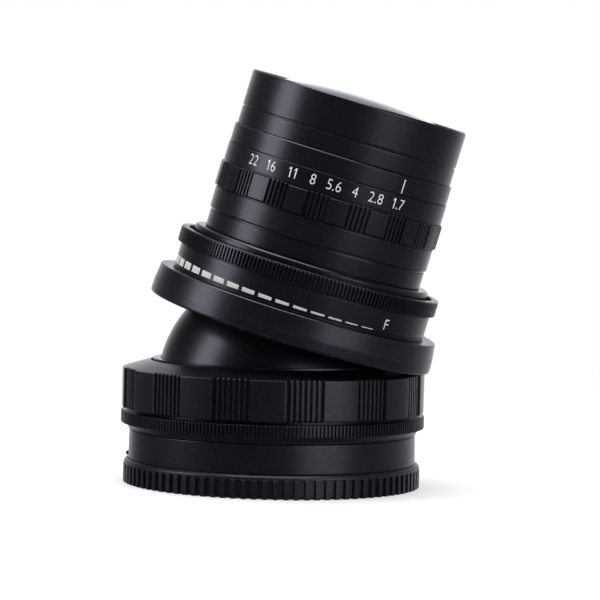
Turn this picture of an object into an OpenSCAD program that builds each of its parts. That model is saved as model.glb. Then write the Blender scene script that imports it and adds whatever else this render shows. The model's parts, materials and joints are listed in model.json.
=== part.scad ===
// Manual-focus prime camera lens whose optical head tilts on a ball joint.
// It stands on its rear cap, with the head at full tilt towards +X.
// Millimetres. Z = 0 is the underside of the rear cap, on the base axis.
// "Height" of a head part is measured from the ball's centre along the tilted axis.

/* [Tilt joint] */
// Radius of the ball
ball_r = 24.2; // [24.1:0.05:24.3]
// Height of the ball's centre above the underside of the rear cap
ball_z = 20.5; // [20.4:0.05:20.6]
// Angle at which the head leans towards +X
rest_tilt = 15.6; // [0:0.1:15.6]
// Gap between the ball and its seat rings
ball_gap = 0.15; // [0.1:0.01:0.2]

/* [Base] */
// Outer radius of the rear cap
cap_r = 31.0; // [30.9:0.05:31.2]
// Height of the rear cap
cap_h = 4.92; // [4.88:0.01:4.96]
// Number of ribs round the rear cap
cap_ribs = 90; // [60:1:120]
// Radius of the smooth mount tube at its lower end
tube_r = 30.0; // [29.9:0.05:30.1]
// Outer radius of the thin knurled ring
lock_r = 31.7; // [31.5:0.05:31.9]
// Number of knurl teeth on the thin ring
lock_teeth = 244; // [120:2:260]
// Outer radius of the large grip ring
tension_r = 31.55; // [31.4:0.05:31.7]
// Number of pads round the large grip ring
tension_pads = 13; // [9:1:17]

/* [Head] */
// Outer radius of the front barrel
front_r = 23.05; // [23.0:0.01:23.2]
// Height of the front rim
rim_h = 62.0; // [61.9:0.05:62.3]
// Outer radius of the aperture ring over its pads
aperture_r = 23.95; // [23.9:0.05:24.2]
// Number of pads round the aperture ring
aperture_pads = 17; // [9:1:21]
// Outer radius of the focus ring's knurled band
focus_r = 27.9; // [27.8:0.05:28.1]
// Number of knurl teeth on the focus ring
focus_teeth = 210; // [120:2:240]
// Largest radius of the bell collar
bell_r = 30.3; // [30.1:0.02:30.4]

/* [Iris] */
// Number of iris blades
blade_count = 8; // [8:1:8]
// Radius of the fully open iris
iris_open_r = 12.4; // [12.2:0.05:12.6]
// Angle the aperture ring turns from fully open to fully stopped down
aperture_turn = 85; // [60:1:85]
// Angle each blade turns for one degree of the aperture ring
blade_ratio = 0.42; // [0.3:0.01:0.42]

/* [Focus] */
// Angle the focus ring turns from far to near
focus_turn = 150; // [90:1:150]
// Distance the barrel moves forward over that turn
focus_travel = 5.5; // [4:0.1:5.5]

/* [Hidden] */
$fn = 96;
run = 0.06;        // radial clearance of a running fit
scale_side = -82;  // polar angle of the side that carries the scales
eps = 0.01;

// Heights on the base
tube_z = [5.0, 10.9];
lock_z = [11.05, 14.85];
tension_z = [15.55, 23.95];
seat_bore_r = 26.65;
socket_r = 28.4;
socket_top = 23.2;
lip_r = 25.2;
lip_top = 25.9;
plate_r = 28.6;
plate_z = [5.15, 6.6];
throat_r = 20.4;
tab_z = [1.9, 3.3];
cap_floor = 1.2;
rib_top = 3.85;
bead_z = 5.62;
bead_r = 0.45;

// Heights on the head
ball_low = -13;
ball_bore_r = 18.0;
neck_r = 21.5;
neck_bore_r = 19.9;
neck_top = 26;
flange_h = [12.8, 14.0];
bell_h = [11.95, 18.15];
web_top = 14.9;
skirt_r = 26.9;
band_r = 27.0;
focus_h = [18.2, 23.6, 26.85];
nut_h = [15.4, 25.85];
nut_r = [23.66, 25.2];
key_h = [18.4, 22.6];
thread_r = nut_r[0] - run;
barrel_r = 23.2;
journal_r = 21.9;
cell_bore_r = 20.9;
slide_bore_r = 21.56;
ring_low = 32.1;
grip_h = [36.9, 42.2];
ring_top = 46.35;
index_h = [46.5, 50.45];
upper_h = [50.5, 54.15];
front_h = 54.45;
filter_r = 21.1;

// Iris mechanism, seen from the front, with blade 0's pivot on polar angle 0
blade_t = 0.1;
blade_pitch = 0.15;
iris_h = 40.9;
pivot_r = 18.2;
pin_arm = 4.0;
pin_start = -108;
blade_outer_r = 16.7;
blade_span = 100;
iris_pin_r = 0.3;
cam_h = [42.2, 43.2];
cam_r = 20.8;
lever_angle = 140;

// ---------------------------------------------------------------- shared shapes

function polar(r, a) = [r * cos(a), r * sin(a)];

function arc(r, from, to, steps) = [for (i = [0:steps]) polar(r, from + (to - from) * i / steps)];

// Everything on the head is drawn upright and leans with it
module head() {
    translate([0, 0, ball_z])
        rotate([0, rest_tilt, 0])
            children();
}

module disc(r, low, high) {
    translate([0, 0, low])
        cylinder(r = r, h = high - low);
}

module tube(r_in, r_out, low, high) {
    difference() {
        disc(r_out, low, high);
        disc(r_in, low - 1, high + 1);
    }
}

module taper(r_low, r_high, low, high) {
    translate([0, 0, low])
        cylinder(r1 = r_low, r2 = r_high, h = high - low);
}

// A ring sector whose section is a rectangle
module sector(r_in, r_out, low, high, from, to) {
    rotate([0, 0, from])
        rotate_extrude(angle = to - from)
            translate([r_in, low])
                square([r_out - r_in, high - low]);
}

// A bar that points outwards from the axis
module radial_bar(r, from, to, height, angle) {
    rotate([0, 0, angle])
        translate([from, 0, height])
            rotate([0, 90, 0])
                cylinder(r = r, h = to - from, $fn = 32);
}

// A bar parallel to the axis
module axial_bar(r, dist, angle, low, high) {
    rotate([0, 0, angle])
        translate([dist, 0, low])
            cylinder(r = r, h = high - low, $fn = 32);
}

// Pointed teeth, as a straight knurl has
function knurl(count, tip, root) = [
    for (i = [0:count - 1])
        each [polar(tip, i * 360 / count), polar(root, (i + 0.5) * 360 / count)]
];

// Square ribs with slightly sloping sides
function ribs(count, tip, root) = [
    for (i = [0:count - 1])
        each [polar(root, (i - 0.26) * 360 / count), polar(tip, (i - 0.22) * 360 / count),
              polar(tip, (i + 0.22) * 360 / count), polar(root, (i + 0.26) * 360 / count)]
];

// Raised pads that alternate with sunken groups of ridges; a pad is centred on angle 0
function pads(count, pad, root, ridge, ridges, pad_angle, flank) = [
    for (i = [0:count - 1])
        let (pitch = 360 / count, mid = i * pitch, half = pad_angle / 2,
             gap = pitch - pad_angle - 2 * flank, step = gap / ridges)
        each concat(
            arc(pad, mid - half, mid + half, 6),
            [for (j = [0:ridges - 1])
                let (a = mid + half + flank + j * step)
                each [polar(root, a), polar(ridge, a + step * 0.3),
                      polar(ridge, a + step * 0.7)]],
            [polar(root, mid + half + flank + gap)])
];

module extruded_ring(outline, r_in, low, high, turn = 0) {
    difference() {
        translate([0, 0, low])
            rotate([0, 0, turn])
                linear_extrude(high - low)
                    polygon(outline);
        disc(r_in, low - 1, high + 1);
    }
}

// A lens element: front and rear surfaces are spheres, convex when their radius is positive
module element(r, rear, front, r_rear, r_front) {
    difference() {
        intersection() {
            disc(r, rear, front);
            if (r_front > 0)
                translate([0, 0, front - r_front])
                    sphere(r = r_front);
            if (r_rear > 0)
                translate([0, 0, rear + r_rear])
                    sphere(r = r_rear);
        }
        if (r_front < 0)
            translate([0, 0, front - 1.6 - r_front])
                sphere(r = -r_front);
        if (r_rear < 0)
            translate([0, 0, rear + 1.6 + r_rear])
                sphere(r = -r_rear);
    }
}

// ---------------------------------------------------------------- base

module mount_tube() {
    color("#26262a")
    difference() {
        union() {
            taper(tube_r, tube_r - 0.12, tube_z[0], tube_z[1] - 0.1);
            taper(tube_r - 0.12, tube_r - 0.2, tube_z[1] - 0.1 - eps, tube_z[1]);
            disc(socket_r, tube_z[1] - eps, socket_top);
        }
        disc(plate_r, tube_z[0] - 1, plate_z[1]);
        disc(22.4, plate_z[0], socket_top);
        disc(seat_bore_r, 10.7, socket_top + 1);
        mount_screw_shanks();
        radial_bar(bead_r, 29.0, tube_r + 1, bead_z, scale_side - 90);
    }
}

module bayonet_mount() {
    color("#b9bcc2") {
        difference() {
            tube(throat_r, plate_r, plate_z[0], plate_z[1]);
            mount_screw_shanks();
            mount_screw_heads();
        }
        tube(throat_r, 21.6, tab_z[0], plate_z[0]);
        for (i = [0:2])
            sector(21.6, 23.4, tab_z[0], tab_z[1], i * 120, i * 120 + 50);
    }
}

module mount_screw_shanks() {
    for (i = [0:3])
        axial_bar(0.9, 25.4, 15 + i * 90, plate_z[0], 9.2);
}

module mount_screw_heads() {
    for (i = [0:3])
        axial_bar(1.7, 25.4, 15 + i * 90, plate_z[0], plate_z[0] + 0.8);
}

module mount_screws() {
    color("#8d9096")
    difference() {
        union() {
            mount_screw_shanks();
            mount_screw_heads();
        }
        for (i = [0:3])
            rotate([0, 0, 15 + i * 90])
                translate([25.4, 0, plate_z[0] + 0.15])
                    for (turn = [0, 90])
                        rotate([0, 0, turn])
                            cube([1.8, 0.35, 0.6], center = true);
    }
}

module index_bead() {
    color("#3a3a3e")
    union() {
        radial_bar(bead_r, 29.0, 30.4, bead_z, scale_side - 90);
        radial_bar(bead_r - 0.15, 30.3, 30.55, bead_z, scale_side - 90);
    }
}

module wave_washer() {
    color("#8d9096")
    tube(23.2, 26.3, 10.75, 11.3);
}

module rear_cap() {
    color("#2a2a2d")
    union() {
        difference() {
            union() {
                linear_extrude(rib_top)
                    polygon(ribs(cap_ribs, cap_r, cap_r - 0.6));
                disc(cap_r - 0.1, rib_top, cap_h - 0.6);
                taper(cap_r - 0.1, cap_r - 0.4, cap_h - 0.6 - eps, cap_h - 0.2);
                taper(cap_r - 0.4, cap_r - 0.85, cap_h - 0.2 - eps, cap_h);
            }
            difference() {
                disc(28.9, cap_floor, cap_h + 1);
                tube(24.4, 25.7, 0, 4.9);
            }
        }
        for (i = [0:2])
            sector(22.0, 24.5, 3.6, 4.8, i * 120 + 2, i * 120 + 46);
    }
}

module lock_ring() {
    color("#1f1f22")
    union() {
        extruded_ring(knurl(lock_teeth, lock_r, lock_r - 0.32), socket_r + run, 12.4, lock_z[1]);
        difference() {
            union() {
                disc(30.08, lock_z[0], 11.4 + eps);
                taper(30.08, 30.9, 11.4, 12.4 + eps);
            }
            disc(socket_r + run, lock_z[0] - 1, 13);
        }
    }
}

module tension_ring() {
    color("#29292c")
    difference() {
        union() {
            translate([0, 0, tension_z[0]])
                rotate([0, 0, scale_side - 2.1])
                    linear_extrude(tension_z[1] - tension_z[0])
                        polygon(pads(tension_pads, tension_r, 30.75, 31.2, 6, 13.4, 0.5));
            taper(31.1, lip_r + 0.5, tension_z[1] - eps, 25.5);
        }
        disc(socket_r + run, tension_z[0] - 1, 23.4);
        disc(lip_r + 0.5, tension_z[0], 27);
    }
}

// ---------------------------------------------------------------- tilt joint

module ball_space() {
    translate([0, 0, ball_z])
        sphere(r = ball_r + ball_gap);
}

module tilt_pin_bars(r, from, to) {
    for (side = [-90, 90])
        radial_bar(r, from, to, ball_z, side);
}

module lower_seat() {
    color("#c9c4b4")
    difference() {
        disc(seat_bore_r - run, 11.4, 18.95);
        ball_space();
        disc(22.5, 11, 12.5);
    }
}

module upper_seat() {
    color("#242427")
    difference() {
        union() {
            disc(seat_bore_r - run, 19.0, socket_top);
            disc(lip_r, socket_top - eps, lip_top);
        }
        ball_space();
        tilt_pin_bars(1.2, 22, 28);
    }
}

module tilt_pins() {
    color("#8d9096")
    tilt_pin_bars(1.2, 22.9, 26.4);
}

module ball() {
    color("#1a1a1c")
    head()
    difference() {
        union() {
            difference() {
                sphere(r = ball_r);
                disc(30, -30, ball_low);
                disc(30, flange_h[0], 30);
            }
            disc(26.2, flange_h[0] - eps, flange_h[1]);
            disc(neck_r, flange_h[1] - eps, neck_top);
        }
        disc(ball_bore_r, -20, 13);
        disc(neck_bore_r, 13 - eps, neck_top + 1);
        tilt_bores();
        bell_screw_bars(0.8);
        translate([-30, -1.55, 16.5])
            cube([30, 3.1, key_h[1] - 16.5 + focus_travel + 1]);
    }
}

module tilt_bores() {
    for (side = [-90, 90])
        radial_bar(1.2 + run, 22.6, 26, 0, side);
}

module ball_baffle() {
    color("#141416")
    head()
    tube(15.5, ball_bore_r, -11.5, -10.5);
}

module bell_screw_bars(r) {
    for (i = [0:3])
        axial_bar(r, 24.1, 45 + i * 90, 12, web_top);
}

module bell_collar() {
    color("#222225")
    head()
    difference() {
        union() {
            taper(bell_r - 0.22, bell_r, bell_h[0], bell_h[0] + 0.3);
            taper(bell_r, bell_r - 0.05, bell_h[0] + 0.3 - eps, 14.4);
            taper(bell_r - 0.05, bell_r - 0.5, 14.4 - eps, bell_h[1] - 0.15);
            taper(bell_r - 0.5, bell_r - 0.64, bell_h[1] - 0.15 - eps, bell_h[1]);
        }
        disc(26.2, bell_h[0] - 1, flange_h[1]);
        disc(neck_r + run, flange_h[0], bell_h[1] + 1);
        disc(skirt_r + run, web_top, bell_h[1] + 1);
        tube(26, 27.35, 16.4, 16.7);
        bell_screw_bars(0.8);
        axial_bar(0.5, 24.43, -140, web_top - 0.7, 20);
    }
}

module bell_screws() {
    color("#8d9096")
    head()
    difference() {
        union() {
            bell_screw_bars(0.8);
            for (i = [0:3])
                axial_bar(1.3, 24.1, 45 + i * 90, 12.15, flange_h[0] - eps);
        }
        for (i = [0:3])
            rotate([0, 0, 45 + i * 90])
                translate([24.1, 0, 12])
                    cube([3, 0.35, 0.8], center = true);
        disc(30, 11, 12.15);
    }
}

module snap_ring() {
    color("#8d9096")
    head()
    difference() {
        tube(26.6, 27.35, 16.4, 16.7);
        rotate([0, 0, 92])
            translate([24, -1.5, 16])
                cube([5, 3, 1]);
    }
}

module focus_stop_pin() {
    color("#8d9096")
    head()
    axial_bar(0.5, 24.43, -140, web_top - 0.7, 15.9);
}

// ---------------------------------------------------------------- focusing

module focus_ring() {
    color("#1e1e21")
    head()
    difference() {
        union() {
            disc(skirt_r, web_top + 0.1, focus_h[0] + eps);
            disc(band_r + 0.18, focus_h[0], 18.5);
            disc(band_r - 0.15, 18.5 - eps, 18.7);
            disc(band_r, 18.7 - eps, 23.35);
            disc(band_r - 0.25, 23.35 - eps, focus_h[1]);
            translate([0, 0, focus_h[1] - eps])
                linear_extrude(focus_h[2] - focus_h[1])
                    polygon(knurl(focus_teeth, focus_r, focus_r - 0.38));
        }
        disc(nut_r[1], web_top, 28);
        disc(26.4, 25.9, 28);
        tube(26.5, 30, 16.3, 16.8);
    }
}

module helicoid_nut() {
    color("#b5974f")
    head()
    difference() {
        tube(nut_r[0], nut_r[1], nut_h[0], nut_h[1]);
        sector(23, 25.02, nut_h[0] - 1, 16.1, -140 - focus_turn - 2.5, -140 + 2.5);
    }
}

module main_barrel() {
    color("#202023")
    head()
    difference() {
        union() {
            disc(thread_r, 18.3, 26.7);
            disc(22.9, 26.7 - eps, 28.25);
            disc(barrel_r, 28.25 - eps, 31.7);
            disc(barrel_r - 0.35, 31.7 - eps, ring_low - 0.05);
            disc(journal_r, 32, 56.4);
        }
        disc(slide_bore_r, 18, 26.3);
        disc(18.65, 26, 40);
        disc(cell_bore_r, 27.9, 38.3);
        disc(cell_bore_r, 39.5, 57);
        translate([-30, -1.5, 18])
            cube([12, 3, key_h[1] - 18]);
        sector(20, 23, 41.75, 43.6, lever_angle - 4, lever_angle + aperture_turn + 4);
        radial_bar(0.8, 19, 23, 34.5, 60);
    }
}

module shoulder_ring() {
    color("#1b1b1e")
    head()
    difference() {
        union() {
            tube(23.9, 25.3, 26.2, 26.8 + eps);
            disc(25.3, 26.8, 27.6);
            taper(25.3, 25.15, 27.6 - eps, 27.9);
            taper(25.15, 24.8, 27.9 - eps, 28.15);
        }
        disc(22.9, 26, 29);
    }
}

module slide_key() {
    color("#b5974f")
    head()
    translate([-23.3, -1.5, key_h[0]])
        cube([3.2, 3, key_h[1] - key_h[0]]);
}

module index_ring() {
    color("#242427")
    head()
    difference() {
        union() {
            disc(23.42, index_h[0], index_h[1] - 0.2);
            taper(23.42, 23.2, index_h[1] - 0.2 - eps, index_h[1]);
        }
        disc(journal_r, index_h[0] - 1, index_h[1] + 1);
    }
}

module upper_ring() {
    color("#222225")
    head()
    tube(journal_r, front_r - 0.04, upper_h[0], upper_h[1]);
}

module front_barrel() {
    color("#242427")
    head()
    difference() {
        union() {
            disc(front_r - 0.25, upper_h[1], front_h + eps);
            disc(front_r, front_h, rim_h - 0.35);
            taper(front_r, front_r - 0.3, rim_h - 0.35 - eps, rim_h);
        }
        disc(journal_r, upper_h[1] - 1, 56.5);
        disc(19.6, 56, 59);
        disc(filter_r, 58.0, rim_h + 1);
    }
}

module filter_ring() {
    color("#161618")
    head()
    difference() {
        union() {
            disc(filter_r - 0.05, 58.9, 59.6);
            taper(filter_r - 0.3, 17.6, 59.6 - eps, 61.5);
        }
        disc(18.3, 58, 60.5);
        disc(17.05, 58, 63);
    }
}

module front_cell() {
    color("#18181a")
    head()
    difference() {
        union() {
            disc(19.5, 45.2, 58.1);
            disc(filter_r - 0.1, 58.05, 58.85);
            disc(18.25, 58.8, 60.4);
        }
        disc(13.6, 45, 62);
        disc(15.6, 46.4, 58);
        disc(17.05, 58.0, 62);
    }
}

module front_spacer() {
    color("#18181a")
    head()
    tube(13.9, 15.6, 52.0, 53.0);
}

module glass_1() {
    color("#9fb4c4", 0.4)
    head()
    element(17.0, 58.4, rim_h + 1.35, 0, 92);
}

module glass_2() {
    color("#9fb4c4", 0.4)
    head()
    element(15.5, 53.1, 57.6, 0, 34);
}

module glass_3() {
    color("#9fb4c4", 0.4)
    head()
    element(15.5, 46.5, 51.9, -26, 0);
}

module rear_cell() {
    color("#18181a")
    head()
    difference() {
        union() {
            disc(18.6, 22.0, 39.4);
            disc(20.8, 37.2, 38.25);
        }
        disc(13.4, 21, 41);
        disc(15.1, 21, 38.6);
    }
}

module glass_4() {
    color("#9fb4c4", 0.4)
    head()
    element(15.0, 33.6, 38.5, 0, -24);
}

module glass_5() {
    color("#9fb4c4", 0.4)
    head()
    element(15.0, 29.6, 33.5, 60, 0);
}

module rear_spacer() {
    color("#18181a")
    head()
    tube(13.8, 15.05, 29.0, 31.15);
}

module glass_6() {
    color("#9fb4c4", 0.4)
    head()
    element(15.0, 24.2, 28.9, 48, 0);
}

module rear_retainer() {
    color("#18181a")
    head()
    tube(13.8, 15.05, 22.2, 24.1);
}

// ---------------------------------------------------------------- aperture

module aperture_ring() {
    color("#222225")
    head()
    difference() {
        union() {
            taper(23.3, 23.5, ring_low, ring_low + 0.2);
            disc(23.5, ring_low + 0.2 - eps, grip_h[0] - 0.2);
            disc(23.1, grip_h[0] - 0.2 - eps, grip_h[0] + eps);
            translate([0, 0, grip_h[0]])
                rotate([0, 0, scale_side + 3.2])
                    linear_extrude(grip_h[1] - grip_h[0])
                        polygon(pads(aperture_pads, aperture_r, 23.4, 23.85, 4, 10.1, 0.35));
            disc(23.35, grip_h[1] - eps, grip_h[1] + 0.25);
            disc(23.55, grip_h[1] + 0.2, ring_top - 0.15);
            taper(23.55, 23.4, ring_top - 0.15 - eps, ring_top);
        }
        disc(journal_r + run, ring_low - 1, ring_top + 1);
        for (stop = [0:7])
            axial_bar(0.35, journal_r + run, 60 - stop * aperture_turn / 7, 33.6, 35.4);
        radial_bar(0.7, 19, 23.3, 42.7, lever_angle);
    }
}

module iris_lever() {
    color("#8d9096")
    head()
    radial_bar(0.7, 20.2, 23.3, 42.7, lever_angle);
}

module click_ball() {
    color("#c8cacd")
    head()
    rotate([0, 0, 60])
        translate([journal_r - 0.72, 0, 34.5])
            sphere(r = 0.7, $fn = 48);
}

module click_spring() {
    color("#8d9096")
    head()
    rotate([0, 0, 60])
        translate([20.2, -0.6, 30.9])
            cube([0.25, 1.2, 4.4]);
}

module iris_base() {
    color("#18181a")
    head()
    difference() {
        tube(iris_open_r, cam_r, 39.6, 40.6);
        for (i = [0:blade_count - 1])
            axial_bar(iris_pin_r + 0.05, pivot_r, i * 360 / blade_count, 39, 41);
    }
}

// Centre of a blade's drive pin when the blade has turned by an angle
function drive_pin(turn) = [
    pivot_r + pin_arm * cos(pin_start + turn),
    pin_arm * sin(pin_start + turn)
];

// The same point seen from the turning cam ring
function cam_point(ring_turn) =
    let (p = drive_pin(ring_turn * blade_ratio),
         r = norm(p), a = atan2(p[1], p[0]) - ring_turn)
    [r, a];

cam_steps = 16;
function cam_edge(side) = [
    for (i = [0:cam_steps])
        let (c = cam_point(-1.6 + (aperture_turn + 3.2) * i / cam_steps))
        polar(c[0] + side * (iris_pin_r + 0.07), c[1])
];

module iris_cam() {
    color("#1c1c1e")
    head()
    difference() {
        tube(iris_open_r + 0.4, cam_r, cam_h[0], cam_h[1]);
        for (i = [0:blade_count - 1])
            rotate([0, 0, i * 360 / blade_count])
                translate([0, 0, cam_h[0] - 0.5])
                    linear_extrude(2)
                        polygon(concat(cam_edge(-1), [for (j = [cam_steps:-1:0]) cam_edge(1)[j]]));
        radial_bar(0.7, 20.2, 23, 42.7, lever_angle);
    }
}

module blade(number) {
    color("#4a4b4f")
    head()
    rotate([0, 0, (number - 1) * 360 / blade_count])
    translate([0, 0, iris_h + (number - 1) * blade_pitch])
    union() {
        linear_extrude(blade_t)
            union() {
                difference() {
                    circle(r = blade_outer_r);
                    circle(r = iris_open_r + 0.1);
                    polygon(concat([[0, 0]], arc(40, blade_span, 360, 12)));
                }
                translate([blade_outer_r - 1.6, 0])
                    square([pivot_r - blade_outer_r + 1.6, 1.2]);
                translate([pivot_r, 0])
                    circle(r = 1.2, $fn = 32);
                translate(drive_pin(0))
                    circle(r = 0.7, $fn = 32);
                translate([pivot_r, 0])
                    rotate([0, 0, pin_start])
                        translate([0, -0.55])
                            square([pin_arm, 1.1]);
            }
        translate([pivot_r, 0, -0.9 - (number - 1) * blade_pitch])
            cylinder(r = iris_pin_r, h = 0.95 + (number - 1) * blade_pitch, $fn = 24);
        translate([drive_pin(0)[0], drive_pin(0)[1], blade_t / 2])
            cylinder(r = iris_pin_r, h = 2.1 - (number - 1) * blade_pitch, $fn = 24);
    }
}

// ---------------------------------------------------------------- assembly

mount_tube();
bayonet_mount();
mount_screws();
index_bead();
wave_washer();
rear_cap();
lock_ring();
tension_ring();
lower_seat();
upper_seat();
tilt_pins();
ball();
ball_baffle();
bell_collar();
bell_screws();
snap_ring();
focus_stop_pin();
focus_ring();
helicoid_nut();
main_barrel();
shoulder_ring();
slide_key();
index_ring();
upper_ring();
front_barrel();
filter_ring();
front_cell();
front_spacer();
glass_1();
glass_2();
glass_3();
iris_base();
click_ball();
click_spring();
rear_cell();
rear_spacer();
rear_retainer();
glass_4();
glass_5();
glass_6();
aperture_ring();
iris_cam();
iris_lever();
blade(1);  // blade_1
blade(2);  // blade_2
blade(3);  // blade_3
blade(4);  // blade_4
blade(5);  // blade_5
blade(6);  // blade_6
blade(7);  // blade_7
blade(8);  // blade_8
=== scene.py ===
import json
from math import asin, atan2, copysign, cos, degrees, pi, radians, sin, sqrt

import bmesh
import bpy
import numpy as np
from mathutils import Matrix, Vector


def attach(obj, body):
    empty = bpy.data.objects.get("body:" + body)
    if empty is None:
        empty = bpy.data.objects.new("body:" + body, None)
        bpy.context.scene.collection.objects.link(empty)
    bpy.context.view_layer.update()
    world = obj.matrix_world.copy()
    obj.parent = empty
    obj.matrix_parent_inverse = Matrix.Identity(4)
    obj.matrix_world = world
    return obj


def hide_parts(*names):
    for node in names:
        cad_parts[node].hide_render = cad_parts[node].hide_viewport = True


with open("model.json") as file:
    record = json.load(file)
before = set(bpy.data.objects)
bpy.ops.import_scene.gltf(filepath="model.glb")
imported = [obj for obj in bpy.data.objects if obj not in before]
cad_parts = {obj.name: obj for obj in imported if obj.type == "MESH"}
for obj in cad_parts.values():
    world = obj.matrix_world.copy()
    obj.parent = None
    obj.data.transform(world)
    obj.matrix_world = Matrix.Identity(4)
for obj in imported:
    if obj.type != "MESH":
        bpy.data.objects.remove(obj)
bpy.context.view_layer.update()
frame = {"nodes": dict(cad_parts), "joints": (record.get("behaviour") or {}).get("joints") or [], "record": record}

MM = 0.001
SCALE_SIDE = -82.0          # polar angle in degrees of the side that carries the scales
SHARP_ANGLE = 32.0          # edges above this many degrees are shaded sharp
KNURL_SHARP = 50.0          # the same on knurled and padded rings

# ---- frames and CAD measures

JOINTS = {joint["name"]: joint for joint in frame["joints"]}
HEAD_AXIS = Vector(JOINTS["focus_turn"]["axis"]).normalized()
UPRIGHT = Matrix.Identity(4)
HEAD = Matrix.Translation(Vector(JOINTS["tilt"]["pos_m"])) @ Matrix.Rotation(
    atan2(HEAD_AXIS.x, HEAD_AXIS.z), 4, "Y"
)


class Measure:
    """Outer radius, lowest and highest height of a CAD node about its own axis, in mm"""

    def __init__(self, node, place):
        mesh = frame["nodes"][node].data
        points = np.empty(len(mesh.vertices) * 3)
        mesh.vertices.foreach_get("co", points)
        back = np.array(place.inverted())
        points = points.reshape(-1, 3) @ back[:3, :3].T + back[:3, 3]
        radii = np.hypot(points[:, 0], points[:, 1]) / MM
        self.r = float(radii.max())
        self.low, self.high = float(points[:, 2].min() / MM), float(points[:, 2].max() / MM)


def link(made):
    """Puts an object in the scene"""
    bpy.context.scene.collection.objects.link(made)


# ---- lathe


ARC_STEPS = 3               # straight pieces in a rounded corner
SUPPORT = 0.22              # distance in mm of the extra point beside a rounded corner
MOST_OF_SIDE = 0.45         # share of a side that one rounded corner may take
EDGE_END_WEAR_AND_HIGHLIGHT = 0.55        # wear and painted highlight where a rounded corner meets its sides; 1 is its middle


def fillet(corners, radii, closed):
    """Sections with their corners rounded.

    corners is an array (sections, corners, 2) of radius and height in mm.
    All the sections get the same number of points.
    Returns the points and how far each one is on a convex edge, from 0 to 1; the materials paint this as wear and
    as a painted edge highlight.
    """
    count = corners.shape[1]
    points, wear_and_highlight = [], []
    base = corners[-1]
    area = sum(
        base[i][0] * base[(i + 1) % count][1] - base[(i + 1) % count][0] * base[i][1]
        for i in range(count)
    )
    for i in range(count):
        here = corners[:, i]
        if radii[i] <= 0 or (not closed and i in (0, count - 1)):
            points.append(here)
            wear_and_highlight.append(0.0)
            continue
        before, after = corners[:, i - 1] - here, corners[:, (i + 1) % count] - here
        len_before = np.linalg.norm(before, axis=1, keepdims=True)
        len_after = np.linalg.norm(after, axis=1, keepdims=True)
        reach_before = np.minimum(radii[i], MOST_OF_SIDE * len_before)
        reach_after = np.minimum(radii[i], MOST_OF_SIDE * len_after)
        start = here + before / np.maximum(len_before, 1e-9) * reach_before
        end = here + after / np.maximum(len_after, 1e-9) * reach_after
        turn = -before[-1][0] * after[-1][1] + before[-1][1] * after[-1][0]
        convex = 1.0 if turn * area > 0 else 0.0
        if len_before[-1, 0] > radii[i] * 2 + SUPPORT * 3:
            points.append(start + before / len_before * SUPPORT)
            wear_and_highlight.append(0.0)
        # convex corners carry the edge share: real wear and a painted edge highlight
        for step in range(ARC_STEPS + 1):
            s = step / ARC_STEPS
            points.append((1 - s) ** 2 * start + 2 * s * (1 - s) * here + s * s * end)
            wear_and_highlight.append(convex * (1.0 if 0 < step < ARC_STEPS else EDGE_END_WEAR_AND_HIGHLIGHT))
        if len_after[-1, 0] > radii[i] * 2 + SUPPORT * 3:
            points.append(end + after / len_after * SUPPORT)
            wear_and_highlight.append(0.0)
    return np.stack(points, axis=1), np.array(wear_and_highlight)


class Around:
    """The columns of a lathe: each one's angle, section weights and share of a worn edge with a painted highlight
    """

    def __init__(self):
        self.angles, self.weights, self.edges = [], [], []

    def add(self, angle, weights, edge=0.0):
        self.angles.append(radians(angle))
        self.weights.append(weights)
        self.edges.append(edge)


def plain(steps=720):
    """Columns with no pattern"""
    around = Around()
    for i in range(steps):
        around.add(360 * i / steps, (1.0,))
    return around


# A flank counts as a worn edge with a painted highlight where its rise, from 0 to 1, is between these
TOOTH_EDGE, PAD_EDGE, FLAT_TOP = 0.75, 0.6, 0.999
PAD_STEP = 0.5              # largest angle in degrees between the columns of a pad
RIDGE_SHARE, RIDGE_WALL = 0.56, 0.16    # a ridge and its flank, as shares of the ridges' pitch
RIDGE_MARGIN = 0.35         # room before the first ridge, as a share of the same pitch


def toothed(count, crest, flank, turn=0.0):
    """Teeth between section 0, the root, and section 1, the tip.

    crest and flank are shares of the pitch.
    """
    around = Around()
    pitch = 360 / count
    low = 1 - crest - 2 * flank
    marks = [(0.0, 0.0)]
    for s in (0.0, 0.2, 0.5, 0.8, 1.0):
        marks.append((low + flank * s, s * s * (3 - 2 * s)))
    marks.append((low + flank + crest / 2, 1.0))
    for s in (1.0, 0.8, 0.5, 0.2):
        marks.append((low + flank + crest + flank * (1 - s), s * s * (3 - 2 * s)))
    for i in range(count):
        for share, tip in marks:
            edge = 1.0 if TOOTH_EDGE < tip < FLAT_TOP else 0.0
            around.add(turn + pitch * (i + share), (1 - tip, tip), edge)
    return around


def padded(count, pad, flank, ridges, turn):
    """Pads with a group of ridges between each two. Widths and turn are in degrees.

    Sections are root, ridge and pad; a pad is centred on turn.
    """
    around = Around()
    pitch = 360 / count
    gap = pitch - pad - 2 * flank
    step = gap / (ridges + RIDGE_MARGIN)
    ease = (0.0, 0.12, 0.3, 0.55, 0.8, 1.0)

    def rise(at, width, top, up):
        for s in ease:
            share = s if up else 1 - s
            smooth = share * share * (3 - 2 * share)
            weights = [1 - smooth, 0.0, 0.0]
            weights[top] = smooth
            edge = 1.0 if PAD_EDGE < smooth < FLAT_TOP else 0.0
            around.add(at + width * s, weights, edge)

    for i in range(count):
        start = turn + i * pitch - pad / 2
        inner = max(2, int(pad / PAD_STEP))
        for j in range(1, inner):
            around.add(start + pad * j / inner, (0.0, 0.0, 1.0))
        rise(start + pad, flank, 2, False)
        wall = step * RIDGE_WALL
        for j in range(ridges):
            at = start + pad + flank + step * (RIDGE_MARGIN + j)
            crest = step * RIDGE_SHARE - wall
            rise(at, wall, 1, True)
            around.add(at + wall + crest / 2, (0.0, 1.0, 0.0))
            rise(at + wall + crest, wall, 1, False)
        rise(start + pad + flank + gap, flank, 2, True)
    return around


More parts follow.
